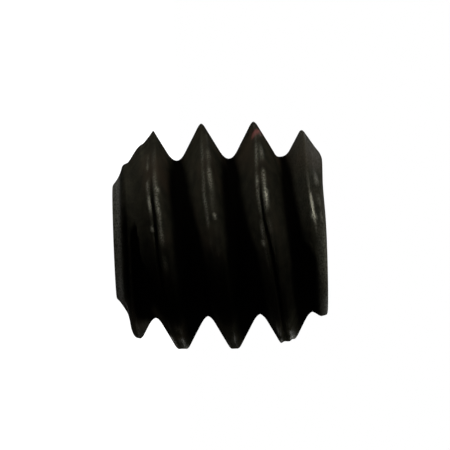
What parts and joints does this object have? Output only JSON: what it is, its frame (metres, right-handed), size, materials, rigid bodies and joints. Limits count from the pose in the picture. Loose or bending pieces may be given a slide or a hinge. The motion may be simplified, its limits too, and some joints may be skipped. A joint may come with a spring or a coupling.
{
  "type": "grub set screw",
  "caption": "Headless set screw with a right-hand rolled thread, a hexagon socket in one end and a cup point on the other.",
  "frame": {"origin": "centre of the cup point's rim plane, on the screw's axis", "axes": "+Z along the axis, from the cup point up to the socket; the crest of the thread is closed on the -X side"},
  "size_m": [0.0034, 0.0032, 0.0032],
  "materials": {
    "black_oxide_steel": "satin"
  },
  "bodies": {
    "root": {"set_screw": "black_oxide_steel"}
  },
  "joints": []
}
